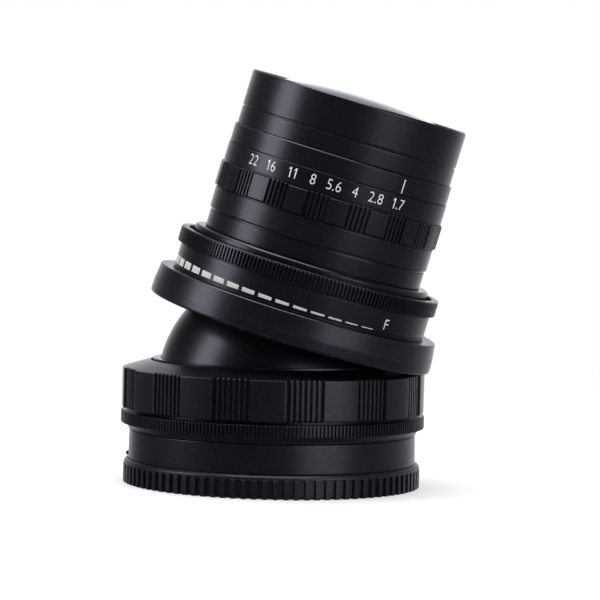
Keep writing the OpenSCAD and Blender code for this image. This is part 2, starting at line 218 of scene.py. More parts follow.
def new_piece(name, points, faces, edge=None, place=UPRIGHT, sharp=SHARP_ANGLE):
    """A mesh piece from points in metres"""
    mesh = bpy.data.meshes.new(name)
    mesh.from_pydata(points.tolist() if hasattr(points, "tolist") else points, [], faces)
    if edge is not None:
        attribute = mesh.attributes.new("edge", "FLOAT", "POINT")
        attribute.data.foreach_set("value", np.asarray(edge, np.float32))
    mesh.polygons.foreach_set("use_smooth", [True] * len(mesh.polygons))
    mesh.set_sharp_from_angle(angle=radians(sharp))
    mesh.update()
    piece = bpy.data.objects.new(name, mesh)
    link(piece)
    piece.matrix_world = place
    return piece


SECTOR_COLUMNS = 40
SPREAD_SEEN = 0.02          # mm between sections from which their columns can show wear and a painted edge highlight


def lathe(
    name, sections, around=None, place=UPRIGHT, closed=True, sector=None, sharp=SHARP_ANGLE
):
    """A closed ring, or a solid whose section starts and ends on the axis when closed is False.

    Each section is a list of (radius, height, rounding) in mm.
    sector is (from, to) in degrees for a part ring.
    """
    around = around or plain()
    corners = np.array([[(r, z) for r, z, _ in section] for section in sections], float)
    radii = [max(section[i][2] for section in sections) for i in range(corners.shape[1])]
    profile, wear_and_highlight = fillet(corners, radii, closed)
    angles = np.array(around.angles)
    weights = np.array(around.weights)
    edges = np.array(around.edges)
    if sector:
        angles = np.radians(np.linspace(sector[0], sector[1], SECTOR_COLUMNS))
        weights, edges = np.ones((SECTOR_COLUMNS, 1)), np.zeros(SECTOR_COLUMNS)
    rows = np.einsum("as,spc->apc", weights, profile) * MM
    varies = np.ptp(profile[:, :, 0], axis=0) > SPREAD_SEEN
    # edge share for the materials: real wear and a painted edge highlight
    worn_and_highlit = np.maximum(wear_and_highlight[None, :], edges[:, None] * varies[None, :])
    columns, count = len(angles), profile.shape[1]
    points = np.empty((columns, count, 3))
    points[:, :, 0] = rows[:, :, 0] * np.cos(angles)[:, None]
    points[:, :, 1] = rows[:, :, 0] * np.sin(angles)[:, None]
    points[:, :, 2] = rows[:, :, 1]
    points, worn_and_highlit = points.reshape(-1, 3), worn_and_highlit.reshape(-1)
    last_column = columns - 1 if sector else columns
    faces = []
    if closed:
        for a in range(last_column):
            b = (a + 1) % columns
            for p in range(count):
                q = (p + 1) % count
                faces.append((a * count + p, b * count + p, b * count + q, a * count + q))
        if sector:
            faces.append(tuple(range(count)))
            faces.append(tuple((columns - 1) * count + p for p in reversed(range(count))))
        return new_piece(name, points, faces, worn_and_highlit, place, sharp)
    # the two ends lie on the axis: one point each
    first, last = len(points), len(points) + 1
    axis = np.array([[0, 0, rows[0, 0, 1]], [0, 0, rows[0, -1, 1]]])
    points = np.vstack([points, axis])
    worn_and_highlit = np.append(worn_and_highlit, [0, 0])
    for a in range(columns):
        b = (a + 1) % columns
        faces.append((first, b * count + 1, a * count + 1))
        for p in range(1, count - 2):
            faces.append(
                (a * count + p, b * count + p, b * count + p + 1, a * count + p + 1)
            )
        faces.append((a * count + count - 2, b * count + count - 2, last))
    used = np.ones(len(points), bool)
    used[: columns * count].reshape(columns, count)[:, (0, count - 1)] = False
    renumber = np.cumsum(used) - 1
    faces = [tuple(int(renumber[v]) for v in face) for face in faces]
    return new_piece(name, points[used], faces, worn_and_highlit[used], place, sharp)


BAR_STEPS, ARC_BLOCK_STEPS = 40, 48


def bar(radius, start, end):
    """A plain cylinder used only as a cutter, between two points in mm"""
    start, end = Vector(start) * MM, Vector(end) * MM
    along = end - start
    turn = along.to_track_quat("Z", "Y").to_matrix().to_4x4()
    points, faces = [], []
    for level in (0.0, along.length):
        for i in range(BAR_STEPS):
            a = 2 * pi * i / BAR_STEPS
            spot = Vector((radius * MM * cos(a), radius * MM * sin(a), level))
            points.append(tuple(start + (turn @ spot)))
    for i in range(BAR_STEPS):
        j = (i + 1) % BAR_STEPS
        faces.append((i, j, BAR_STEPS + j, BAR_STEPS + i))
    faces.append(tuple(reversed(range(BAR_STEPS))))
    faces.append(tuple(range(BAR_STEPS, 2 * BAR_STEPS)))
    return points, faces


def block(low, high):
    """A box used only as a cutter, corners in mm"""
    (x0, y0, z0), (x1, y1, z1) = [[value * MM for value in corner] for corner in (low, high)]
    points = [(x, y, z) for z in (z0, z1) for x, y in ((x0, y0), (x1, y0), (x1, y1), (x0, y1))]
    faces = [(3, 2, 1, 0), (4, 5, 6, 7), (0, 1, 5, 4), (1, 2, 6, 5), (2, 3, 7, 6), (3, 0, 4, 7)]
    return points, faces


def arc_block(r_in, r_out, low, high, start, end):
    """A ring sector used only as a cutter, in mm and degrees"""
    points, faces = [], []
    for i in range(ARC_BLOCK_STEPS + 1):
        a = radians(start + (end - start) * i / ARC_BLOCK_STEPS)
        for r, z in ((r_in, low), (r_out, low), (r_out, high), (r_in, high)):
            points.append((r * cos(a) * MM, r * sin(a) * MM, z * MM))
    for i in range(ARC_BLOCK_STEPS):
        for k in range(4):
            m = (k + 1) % 4
            faces.append((4 * i + k, 4 * (i + 1) + k, 4 * (i + 1) + m, 4 * i + m))
    faces.append((0, 1, 2, 3))
    faces.append(tuple(4 * ARC_BLOCK_STEPS + k for k in (3, 2, 1, 0)))
    return points, faces


def carve(piece, *cutters):
    """Takes the cutters out of a piece"""
    points, faces = [], []
    for cutter_points, cutter_faces in cutters:
        shift = len(points)
        points += cutter_points
        faces += [tuple(v + shift for v in face) for face in cutter_faces]
    tool = new_piece("cutter", points, faces, place=piece.matrix_world.copy())
    shape = bmesh.new()
    shape.from_mesh(tool.data)
    bmesh.ops.recalc_face_normals(shape, faces=shape.faces)
    shape.to_mesh(tool.data)
    shape.free()
    cut = piece.modifiers.new("cut", "BOOLEAN")
    cut.operation, cut.object, cut.solver = "DIFFERENCE", tool, "EXACT"
    graph = bpy.context.evaluated_depsgraph_get()
    mesh = bpy.data.meshes.new_from_object(piece.evaluated_get(graph))
    piece.modifiers.clear()
    piece.data = mesh
    mesh.set_sharp_from_angle(angle=radians(SHARP_ANGLE))
    bpy.data.objects.remove(tool)


def around_axis(radius, angle, low, high, dist):
    """A cutter parallel to the axis; angle is in degrees, dist is from the axis in mm"""
    a = radians(angle)
    x, y = dist * cos(a), dist * sin(a)
    return bar(radius, (x, y, low), (x, y, high))


def outwards(radius, start, end, height, angle):
    """A cutter that points outwards from the axis"""
    a = radians(angle)
    c, s = cos(a), sin(a)
    return bar(radius, (start * c, start * s, height), (end * c, end * s, height))


# ---- materials


def new_material(name):
    """An empty material, its tree and its shader"""
    material = bpy.data.materials.new(name)
    material.use_nodes = True
    tree = material.node_tree
    return material, tree, tree.nodes["Principled BSDF"]


def put(tree, node, inputs):
    """Gives a node's inputs their values, or links to the sockets they come from"""
    for key, value in inputs.items():
        socket = node.inputs[key]
        if isinstance(value, bpy.types.NodeSocket):
            tree.links.new(value, socket)
        else:
            socket.default_value = value


def add(tree, kind, inputs, **settings):
    """The first output of a new node with these inputs and settings"""
    made = tree.nodes.new("ShaderNode" + kind)
    for key, value in settings.items():
        setattr(made, key, value)
    put(tree, made, inputs)
    return made.outputs[0]


def maths(tree, operation, a, b=0.0, clamp=False):
    """A math node's result; operations on one value leave b out"""
    return add(tree, "Math", {0: a, 1: b}, operation=operation, use_clamp=clamp)


def spread(tree, value, from_low, from_high, to_low=0.0, to_high=1.0):
    """value mapped from one range to another, and held inside it"""
    ranges = {0: value, 1: from_low, 2: from_high, 3: to_low, 4: to_high}
    return add(tree, "MapRange", ranges, clamp=True)


def mix(tree, share, first, second):
    """Two colours, or two sockets that carry colours, mixed by share"""
    made = tree.nodes.new("ShaderNodeMix")
    made.data_type = "RGBA"
    put(tree, made, {0: share, 6: first, 7: second})
    return made.outputs[2]


def times(tree, a, b):
    return maths(tree, "MULTIPLY", a, b)


def grey(value, warm=0.0):
    """A grey; warm above 0 leans to yellow, below 0 to violet"""
    if warm < 0:
        return (value * (1 - warm * 0.2), value, value * (1 - warm), 1.0)
    return (value * (1 + warm), value, value * (1 - warm), 1.0)


ALONG, SLOPE = 0.02, 0.7    # how much x and y, and the radius, count in the turned coordinates


def coordinates(tree):
    """Object coordinates, and the same stretched along the turning direction of a lathe"""
    texture = tree.nodes.new("ShaderNodeTexCoord")
    place = texture.outputs["Object"]
    parts = tree.nodes.new("ShaderNodeSeparateXYZ")
    tree.links.new(place, parts.inputs[0])
    x, y, z = parts.outputs
    radius = maths(tree, "SQRT", maths(tree, "ADD", times(tree, x, x), times(tree, y, y)))
    sloped = maths(tree, "ADD", z, times(tree, radius, SLOPE))
    turned = tree.nodes.new("ShaderNodeCombineXYZ")
    put(tree, turned, {0: times(tree, x, ALONG), 1: times(tree, y, ALONG), 2: sloped})
    return place, turned.outputs[0]


def noise(tree, place, scale, detail, rough):
    """Noise from 0 to 1; scale is per metre"""
    settings = {"Vector": place, "Scale": scale, "Detail": detail, "Roughness": rough}
    return add(tree, "TexNoise", settings)


def specks(tree, place, scale, size, share):
    """1 on small round specks in that share of the cells, 0 elsewhere"""
    cells = tree.nodes.new("ShaderNodeTexVoronoi")
    put(tree, cells, {"Vector": place, "Scale": scale})
    near = spread(tree, cells.outputs["Distance"], size * 0.6, size, 1.0, 0.0)
    pick = tree.nodes.new("ShaderNodeSeparateColor")
    tree.links.new(cells.outputs["Color"], pick.inputs[0])
    chosen = maths(tree, "GREATER_THAN", pick.outputs[0], 1 - share)
    return times(tree, near, chosen)


MICROMETRE = 1e-6
WEAR_AND_HIGHLIGHT_NOISE, WEAR_AND_HIGHLIGHT_RANGE = 700, (0.42, 0.68)      # breaks the worn edges and their painted highlight up
WEAR_POLISH = 0.08                              # roughness that full wear takes off
SPECK_SCALE, SPECK_SIZE, SPECK_SHARE = 260, 0.028, 0.35
HAZE_NOISE, HAZE_RANGE, HAZE_AREA, HAZE_AMOUNT = 2200, (0.62, 0.8), (0.5, 0.75), 0.12
DUST_TONE, DUST_WARM = 0.32, 0.03
VIOLET_SHEEN = (0.86, 0.80, 1.0, 1.0)           # tint of the reflections on the cool blacks


def finish_surface(
    name,
    tone,
    rough,
    wear_and_highlight_tone,
    grain,
    streak=(2600, 0.05, 3.0),
    blotch=(90, 0.05),
    tone_share=0.25,
    dust=0.25,
    metallic=0.0,
    specular=0.5,
    warm=0.0,
    wear_and_highlight_amount=0.5,
):
    """A turned and blasted surface, whose convex edges are lightened as wear and as a painted edge highlight.

    grain and streak are (scale per metre, share of roughness, bump height in micrometres).
    blotch is (scale per metre, share of roughness).
    """
    material, tree, shader = new_material(name)
    place, turned = coordinates(tree)
    grain_value = noise(tree, place, grain[0], 3.0, 0.65)
    streak_value = noise(tree, turned, streak[0], 3.0, 0.6)
    blotch_value = noise(tree, place, blotch[0], 4.0, 0.6)
    # worn edges: real wear and a painted edge highlight
    edge = tree.nodes.new("ShaderNodeAttribute")
    edge.attribute_name = "edge"
    broken = spread(tree, noise(tree, place, WEAR_AND_HIGHLIGHT_NOISE, 4.0, 0.7), *WEAR_AND_HIGHLIGHT_RANGE)
    worn_and_highlit = times(tree, edge.outputs["Fac"], broken)
    worn_and_highlit = times(tree, worn_and_highlit, wear_and_highlight_amount)
    # colour
    half_grain = times(tree, grain_value, 0.5)
    shade = maths(tree, "ADD", half_grain, times(tree, blotch_value, 0.5))
    body = mix(
        tree,
        spread(tree, shade, 0.35, 0.65),
        grey(tone * (1 - tone_share), warm),
        grey(tone * (1 + tone_share), warm),
    )
    # lighter convex edges: real wear and a painted edge highlight
    body = mix(tree, worn_and_highlit, body, grey(wear_and_highlight_tone, warm))
    if dust:
        speck = specks(tree, place, SPECK_SCALE, SPECK_SIZE, SPECK_SHARE)
        haze = spread(tree, noise(tree, place, HAZE_NOISE, 4.0, 0.75), *HAZE_RANGE)
        haze = times(tree, haze, spread(tree, blotch_value, *HAZE_AREA))
        haze = times(tree, haze, HAZE_AMOUNT)
        dirt = times(tree, maths(tree, "MAXIMUM", speck, haze), dust)
        body = mix(tree, dirt, body, grey(DUST_TONE, DUST_WARM))
    # roughness
    level = maths(tree, "ADD", spread(tree, grain_value, 0.3, 0.7, -grain[1], grain[1]), rough)
    level = maths(tree, "ADD", level, spread(tree, streak_value, 0.3, 0.7, -streak[1], streak[1]))
    level = maths(tree, "ADD", level, spread(tree, blotch_value, 0.3, 0.7, -blotch[1], blotch[1]))
    polish = times(tree, worn_and_highlit, WEAR_POLISH)
    level = maths(tree, "SUBTRACT", level, polish, clamp=True)
    put(tree, shader, {"Base Color": body, "Roughness": level})
    # relief
    grain_height = times(tree, grain_value, grain[2] * MICROMETRE)
    relief = maths(tree, "ADD", grain_height, times(tree, streak_value, streak[2] * MICROMETRE))
    bump = add(tree, "Bump", {"Height": relief, "Strength": 1.0, "Distance": 1.0})
    put(tree, shader, {"Normal": bump, "Metallic": metallic, "Specular IOR Level": specular})
    if warm < 0:
        put(tree, shader, {"Specular Tint": VIOLET_SHEEN})
    return material


GLASS_IOR, GLASS_CLOUD = 1.52, 0.93     # cloudy areas have this share of the tint
GLASS_ROUGH = (0.01, 0.035)
GLASS_SPECK = (420, 0.05, 0.3)          # cells per metre, size and share of the dust specks
SPECK_ROUGH = 0.3
COAT_ROUGH, COAT_TINT = 0.02, (0.75, 0.9, 1.0, 1.0)


def glass_material(name, tint, coat):
    """Optical glass with a faint coating and a trace of dust"""
    material, tree, shader = new_material(name)
    place, _ = coordinates(tree)
    cloud = noise(tree, place, 120, 3.0, 0.6)
    cloudy = [value * GLASS_CLOUD for value in tint]
    body = mix(tree, spread(tree, cloud, 0.35, 0.65), (*tint, 1.0), (*cloudy, 1.0))
    speck = specks(tree, place, *GLASS_SPECK)
    level = spread(tree, cloud, 0.3, 0.7, *GLASS_ROUGH)
    level = maths(tree, "ADD", level, times(tree, speck, SPECK_ROUGH))
    looks = {"Base Color": body, "Roughness": level, "Transmission Weight": 1.0, "IOR": GLASS_IOR}
    coating = {"Coat Weight": coat, "Coat Roughness": COAT_ROUGH, "Coat Tint": COAT_TINT}
    put(tree, shader, looks | coating)
    return material


SATIN = {
    "warm": -0.45,
    "specular": 0.6,
    "streak": (1400, 0.006, 0.15),
    "blotch": (60, 0.015),
    "wear_and_highlight_amount": 0.3,
}
METAL = {"metallic": 1.0, "dust": 0.0}
POLYMER = {"tone_share": 0.07, "warm": 0.08, "dust": 0.1}
INNER = {"streak": (1500, 0.04, 4.0), "dust": 0.1}
BLADE = {"streak": (1400, 0.06, 2.0), "metallic": 0.6, "dust": 0.0}
PAINT = {"streak": (900, 0.02, 0.0), "tone_share": 0.03, "dust": 0.0}
# slot: tone, roughness, tone of worn edges with their painted highlight, grain, the rest
SURFACES = {
    "anodised_black": (0.0050, 0.29, 0.035, (5600, 0.06, 8.0), SATIN),
    "shoulder_black": (0.0036, 0.26, 0.03, (5600, 0.04, 5.0), SATIN),
    "ball_black": (0.0036, 0.30, 0.03, (5600, 0.03, 2.0), SATIN),
    "cap_plastic": (0.0080, 0.34, 0.05, (5200, 0.05, 6.0), SATIN | {"dust": 0.3}),
    "steel": (0.42, 0.28, 0.6, (5200, 0.05, 2.0), METAL | {"tone_share": 0.08}),
    "bead_black": (0.02, 0.4, 0.06, (6000, 0.05, 4.0), SATIN),
    "seat_polymer": (0.48, 0.45, 0.55, (3000, 0.05, 5.0), POLYMER),
    "brass": (0.40, 0.30, 0.5, (5200, 0.05, 2.0), METAL | {"tone_share": 0.1, "warm": 0.35}),
    "inner_black": (0.006, 0.62, 0.02, (5200, 0.06, 10.0), INNER),
    "blade_steel": (0.05, 0.45, 0.12, (5200, 0.06, 3.0), BLADE),
    "scale_paint": (0.94, 0.50, 0.97, (5200, 0.08, 5.0), PAINT),
}
MATERIALS = {
    name: finish_surface(name, *values, **rest) for name, (*values, rest) in SURFACES.items()
}
MATERIALS["optical_glass"] = glass_material("optical_glass", (0.93, 0.97, 0.98), 0.3)


def paint(piece, slot):
    """Gives a piece the material of its slot"""
    piece.data.materials.clear()
    piece.data.materials.append(MATERIALS[slot])


# CAD nodes that stay get the material of their slot
for part in frame["record"]["subparts"]:
    node = frame["nodes"].get(part["node"])
    if node is not None and part.get("material_slot") in MATERIALS:
        paint(node, part["material_slot"])


def settle(piece, slot, body, *nodes):
    """Paints a piece, hangs it on its body and hides the CAD nodes it stands for"""
    paint(piece, slot)
    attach(piece, body)
    if nodes:
        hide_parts(*nodes)


def turned_part(name, sections, slot, body, *nodes, **shape):
    """A lathed piece, settled"""
    settle(lathe(name, sections, **shape), slot, body, *nodes)


# ---- base

cap = Measure("rear_cap", UPRIGHT)
rib_root, rib_top, collar = cap.r - 0.62, cap.low + 3.85, cap.r - 0.1
CAP_FLOOR, CAP_BORE = 1.2, 28.9
BOSS_IN, BOSS_OUT, BOSS_TOP = 24.4, 25.7, 4.9
RIM_INSET = 0.35            # the cap's underside is this much higher inside its foot
LUG_IN, LUG_OUT, LUG_LOW, LUG_TOP = 22.0, 24.45, 3.6, 4.8


def cap_section(rib):
    """Ribs stand on a foot that is set back between them"""
    foot = rib if rib == cap.r else rib - 0.75
    return [
        (0.0, cap.low + RIM_INSET, 0.0),
        (25.6, cap.low + RIM_INSET, 0.1),
        (26.0, cap.low, 0.15),
        (foot - 0.1, cap.low, 0.05),
        (foot, cap.low + 0.1, 0.05),
        (foot, cap.low + 0.42, 0.02),
        (rib, cap.low + 0.45, 0.02),
        (rib, rib_top - 0.06, 0.05),
        (collar - 0.02, rib_top, 0.03),
        (collar, rib_top + 0.04, 0.03),
        (collar, cap.high - 0.6, 0.15),
        (collar - 0.3, cap.high - 0.2, 0.15),
        (collar - 0.75, cap.high, 0.15),
        (CAP_BORE, cap.high, 0.15),
        (CAP_BORE, CAP_FLOOR, 0.3),
        (BOSS_OUT, CAP_FLOOR, 0.3),
        (BOSS_OUT, BOSS_TOP, 0.12),
        (BOSS_IN, BOSS_TOP, 0.12),
        (BOSS_IN, CAP_FLOOR, 0.3),
        (0.0, CAP_FLOOR, 0.0),
    ]


cap_sections = [cap_section(rib_root), cap_section(cap.r)]
cap_ribs = toothed(90, 0.42, 0.045, turn=0.6)
turned_part(
    "cap_shell", cap_sections, "cap_plastic", "rear_cap", "rear_cap", around=cap_ribs, closed=False
)
lug = [
    (LUG_IN, LUG_LOW, 0.1), (LUG_OUT, LUG_LOW, 0.1), (LUG_OUT, LUG_TOP, 0.1), (LUG_IN, LUG_TOP, 0.1)
]
for number in range(3):
    sector = (number * 120 + 2, number * 120 + 46)
    turned_part(f"cap_lug_{number + 1}", [lug], "cap_plastic", "rear_cap", sector=sector)

tube = Measure("mount_tube", UPRIGHT)
TUBE_TOP, TUBE_BORE, NECK_R, NECK_BORE, THROAT_R = 10.9, 28.6, 28.4, 26.65, 22.4
FLANGE_SEAT, FLANGE_TOP = 6.6, 10.7
SCREW_R, SCREW_CIRCLE = 0.92, 25.4
BEAD_ANGLE, BEAD_HEIGHT, BEAD_R = SCALE_SIDE - 90, 5.62, 0.45
mount_tube = lathe(
    "tube_shell",
    [
        [
            (TUBE_BORE, tube.low, 0.05),
            (tube.r, tube.low, 0.05),
            (tube.r - 0.12, TUBE_TOP - 0.1, 0.05),
            (tube.r - 0.2, TUBE_TOP, 0.04),
            (NECK_R, TUBE_TOP, 0.05),
            (NECK_R, tube.high, 0.1),
            (NECK_BORE, tube.high, 0.08),
            (NECK_BORE, FLANGE_TOP, 0.05),
            (THROAT_R, FLANGE_TOP, 0.08),
            (THROAT_R, FLANGE_SEAT, 0.05),
            (TUBE_BORE, FLANGE_SEAT, 0.05),
        ]
    ],
)
carve(
    mount_tube,
    outwards(BEAD_R + 0.02, 29.0, 31.5, BEAD_HEIGHT, BEAD_ANGLE),
    *[around_axis(SCREW_R, 15 + i * 90, 6.0, 9.25, SCREW_CIRCLE) for i in range(4)],
)
settle(mount_tube, "anodised_black", "base", "mount_tube")

bead_turn = Matrix.Rotation(radians(BEAD_ANGLE), 4, "Z") @ Matrix.Translation(
    (0, 0, BEAD_HEIGHT * MM)
) @ Matrix.Rotation(radians(90), 4, "Y")
# the bead's own axis points outwards, so its heights are distances from the lens axis
bead_section = [
    (0.0, 29.05, 0.0),
    (BEAD_R, 29.05, 0.05),
    (BEAD_R, 30.35, 0.08),
    (BEAD_R - 0.12, 30.48, 0.06),
    (0.18, 30.54, 0.04),
    (0.0, 30.55, 0.0),
]
turned_part(
    "bead_dome",
    [bead_section],
    "bead_black",
    "base",
    "index_bead",
    around=plain(64),
    place=bead_turn,
    closed=False,
)

lock = Measure("lock_ring", UPRIGHT)
LOCK_STEP = 12.4
RING_BORE = NECK_R + 0.06   # bore of the two rings that turn on the tube's neck


def lock_section(tip):
    return [
        (RING_BORE, lock.low, 0.05),
        (30.0, lock.low, 0.05),
        (30.08, lock.low + 0.08, 0.04),
        (30.1, 11.42, 0.05),
        (30.88, LOCK_STEP - 0.05, 0.05),
        (30.95, LOCK_STEP, 0.03),
        (tip - 0.08, LOCK_STEP + 0.02, 0.05),
        (tip, LOCK_STEP + 0.14, 0.06),
        (tip, lock.high - 0.06, 0.04),
        (tip - 0.06, lock.high, 0.03),
        (RING_BORE, lock.high, 0.05),
    ]


turned_part(
    "lock_knurl",
    [lock_section(lock.r - 0.45), lock_section(lock.r)],
    "anodised_black",
    "lock_ring",
    "lock_ring",
    around=toothed(244, 0.38, 0.14),
    sharp=KNURL_SHARP,
)

grip = Measure("tension_ring", UPRIGHT)
GRIP_TOP, GRIP_FLOOR, SEAT_BORE = 23.95, 23.4, 25.7


def grip_section(radius, inset):
    return [
        (RING_BORE, grip.low, 0.05),
        (30.5, grip.low, 0.05),
        (radius - 0.12, grip.low + inset, 0.08),
        (radius, grip.low + inset + 0.14, 0.08),
        (radius, GRIP_TOP - inset - 0.14, 0.1),
        (min(radius - 0.12, 31.0), GRIP_TOP - inset, 0.08),
        (30.95, GRIP_TOP + 0.02, 0.05),
        (SEAT_BORE + 0.05, grip.high, 0.12),
        (SEAT_BORE, 25.2, 0.05),
        (SEAT_BORE, GRIP_FLOOR, 0.05),
        (RING_BORE, GRIP_FLOOR, 0.05),
    ]


turned_part(
    "grip_shell",
    [grip_section(30.75, 0.12), grip_section(31.2, 0.0), grip_section(grip.r, 0.0)],
    "anodised_black",
    "tension_ring",
    "tension_ring",
    around=padded(13, 13.4, 0.5, 6, SCALE_SIDE - 2.1),
    sharp=KNURL_SHARP,
)

# the seat's inner face follows the ball
BALL_Z = JOINTS["tilt"]["pos_m"][2] / MM
BALL_R = 24.2
SEAT_R = BALL_R + 0.15


def sphere_arc(radius, centre, start, end, steps):
    """Points of a sphere's section between two heights, with no rounding"""
    a, b = asin((start - centre) / radius), asin((end - centre) / radius)
    angles = [a + (b - a) * i / steps for i in range(steps + 1)]
    return [(radius * cos(t), centre + radius * sin(t), 0.0) for t in angles]


lip_top = Measure("upper_seat", UPRIGHT).high
SEAT_OUT, SEAT_LOW, SEAT_TOP, LIP_OUT = 26.59, 19.0, 23.2, 25.2
SEAT_PIN_R, BALL_PIN_R = 1.2, 1.26
seat = lathe(
    "seat_lip",
    [
        [
            (SEAT_OUT, SEAT_LOW, 0.1),
            (SEAT_OUT, SEAT_TOP, 0.1),
            (LIP_OUT, SEAT_TOP, 0.04),
            (LIP_OUT, lip_top, 0.14),
        ]
        + sphere_arc(SEAT_R, BALL_Z, lip_top, SEAT_LOW, 14)
    ],
)
carve(seat, *[bar(SEAT_PIN_R, (0, start, BALL_Z), (0, start + 6, BALL_Z)) for start in (-28, 22)])
settle(seat, "shoulder_black", "seat", "upper_seat")

# ---- ball and bell

BALL_LOW, BALL_BORE = -13.0, 18.0
FLANGE_R, FLANGE_LOW, FLANGE_HIGH = 26.2, 12.8, 14.0
NECK_OUT, NECK_IN, NECK_HIGH = 21.5, 19.9, 26.0
BELL_SCREW_R, BELL_SCREW_CIRCLE = 0.82, 24.1
ball = lathe(
    "ball_shell",
    [
        [(BALL_BORE, BALL_LOW, 0.1)]
        + sphere_arc(BALL_R, 0.0, BALL_LOW, FLANGE_LOW - 0.05, 56)
        + [
            (20.55, FLANGE_LOW, 0.0),
            (FLANGE_R, FLANGE_LOW, 0.06),
            (FLANGE_R, FLANGE_HIGH, 0.06),
            (NECK_OUT, FLANGE_HIGH, 0.06),
            (NECK_OUT, NECK_HIGH, 0.1),
            (NECK_IN, NECK_HIGH, 0.1),
            (NECK_IN, 13.0, 0.06),
            (BALL_BORE, 13.0, 0.06),
        ]
    ],
    place=HEAD,
)
carve(
    ball,
    bar(BALL_PIN_R, (0, -26, 0), (0, -22.6, 0)),
    bar(BALL_PIN_R, (0, 22.6, 0), (0, 26, 0)),
    block((-30, -1.55, 16.5), (0, 1.55, 36.5)),
    *[around_axis(BELL_SCREW_R, 45 + i * 90, 11.5, 16.0, BELL_SCREW_CIRCLE) for i in range(4)],
)
settle(ball, "ball_black", "ball_head", "ball")

bell = Measure("bell_collar", HEAD)
BELL_BORE, BELL_FLOOR, BELL_NECK = 26.96, 14.9, NECK_OUT + 0.06
SNAP_R, SNAP_LOW, SNAP_HIGH = 27.35, 16.4, 16.7
bell_piece = lathe(
    "bell_shell",
    [
        [
            (FLANGE_R, bell.low, 0.08),
            (bell.r - 0.22, bell.low, 0.12),
            (bell.r, bell.low + 0.3, 0.25),
            (bell.r - 0.05, 14.4, 0.3),
            (bell.r - 0.5, bell.high - 0.15, 0.05),
            (bell.r - 0.64, bell.high, 0.04),
            (BELL_BORE, bell.high, 0.08),
            (BELL_BORE, SNAP_HIGH, 0.03),
            (SNAP_R, SNAP_HIGH, 0.03),
            (SNAP_R, SNAP_LOW, 0.03),
            (BELL_BORE, SNAP_LOW, 0.03),
            (BELL_BORE, BELL_FLOOR, 0.06),
            (BELL_NECK, BELL_FLOOR, 0.05),
            (BELL_NECK, FLANGE_HIGH, 0.05),
            (FLANGE_R, FLANGE_HIGH, 0.05),
        ]
    ],
    place=HEAD,
)
carve(
    bell_piece,
    around_axis(0.52, -140, 14.2, 16.0, 24.43),
    *[around_axis(BELL_SCREW_R, 45 + i * 90, 13.5, 16.0, BELL_SCREW_CIRCLE) for i in range(4)],
)
settle(bell_piece, "anodised_black", "ball_head", "bell_collar")

# ---- focusing

focus = Measure("focus_ring", HEAD)
BAND_R, BAND_LOW, BAND_HIGH = 27.0, 18.7, 23.6
BAND_LIP, GROOVE_R = BAND_R + 0.18, BAND_R - 0.15
SKIRT_R, SKIRT_HIGH, FOCUS_BORE = 26.9, 18.2, 25.2
COUNTERBORE_R, COUNTERBORE_LOW = 26.4, 25.9


def focus_section(tip):
    return [
        (FOCUS_BORE, focus.low, 0.08),
        (SKIRT_R, focus.low, 0.08),
        (SKIRT_R, 16.3, 0.04),
        (26.5, 16.3, 0.04),
        (26.5, 16.8, 0.04),
        (SKIRT_R, 16.8, 0.04),
        (SKIRT_R, SKIRT_HIGH, 0.03),
        (BAND_LIP, SKIRT_HIGH, 0.06),
        (BAND_LIP, 18.48, 0.06),
        (GROOVE_R, 18.5, 0.03),
        (GROOVE_R, 18.68, 0.03),
        (BAND_R, BAND_LOW, 0.05),
        (BAND_R, 23.33, 0.04),
        (BAND_R - 0.25, 23.36, 0.02),
        (BAND_R - 0.25, BAND_HIGH - 0.02, 0.02),
        (tip - 0.1, BAND_HIGH, 0.05),
        (tip, BAND_HIGH + 0.14, 0.06),
        (tip, focus.high - 0.36, 0.04),
        (focus.r - 0.1, focus.high - 0.3, 0.03),
        (focus.r - 0.1, focus.high - 0.1, 0.06),
        (focus.r - 0.2, focus.high, 0.06),
        (COUNTERBORE_R, focus.high, 0.06),
        (COUNTERBORE_R, COUNTERBORE_LOW, 0.05),
        (FOCUS_BORE, COUNTERBORE_LOW, 0.05),
    ]


turned_part(
    "focus_grip",
    [focus_section(focus.r - 0.5), focus_section(focus.r)],
    "anodised_black",
    "focus_ring",
    "focus_ring",
    around=toothed(210, 0.38, 0.15),
    place=HEAD,
    sharp=KNURL_SHARP,
)

shoulder = Measure("shoulder_ring", HEAD)
SHOULDER_SEAT, SHOULDER_BORE, SHOULDER_LOW_BORE, SHOULDER_FLOOR = 22.9, 22.92, 23.95, 26.8
shoulder_section = [
    (SHOULDER_BORE, SHOULDER_FLOOR, 0.05),
    (SHOULDER_LOW_BORE, SHOULDER_FLOOR, 0.03),
    (SHOULDER_LOW_BORE, shoulder.low, 0.03),
    (shoulder.r, shoulder.low, 0.06),
    (shoulder.r, 27.6, 0.14),
    (shoulder.r - 0.15, 27.9, 0.16),
    (shoulder.r - 0.5, shoulder.high, 0.16),
    (SHOULDER_BORE, shoulder.high, 0.04),
]
turned_part(
    "shoulder_shell", [shoulder_section], "shoulder_black", "barrel", "shoulder_ring", place=HEAD
)


def thread(crest, root, low, high, pitch):
    """Corner points of a thread's section, from low to high or from high to low"""
    turns = int(abs(high - low) / pitch)
    step = copysign(pitch, high - low)
    points = []
    for i in range(turns):
        points.append((crest, low + step * i, 0.03))
        points.append((root, low + step * (i + 0.5), 0.03))
    points.append((crest, low + step * turns, 0.03))
    return points


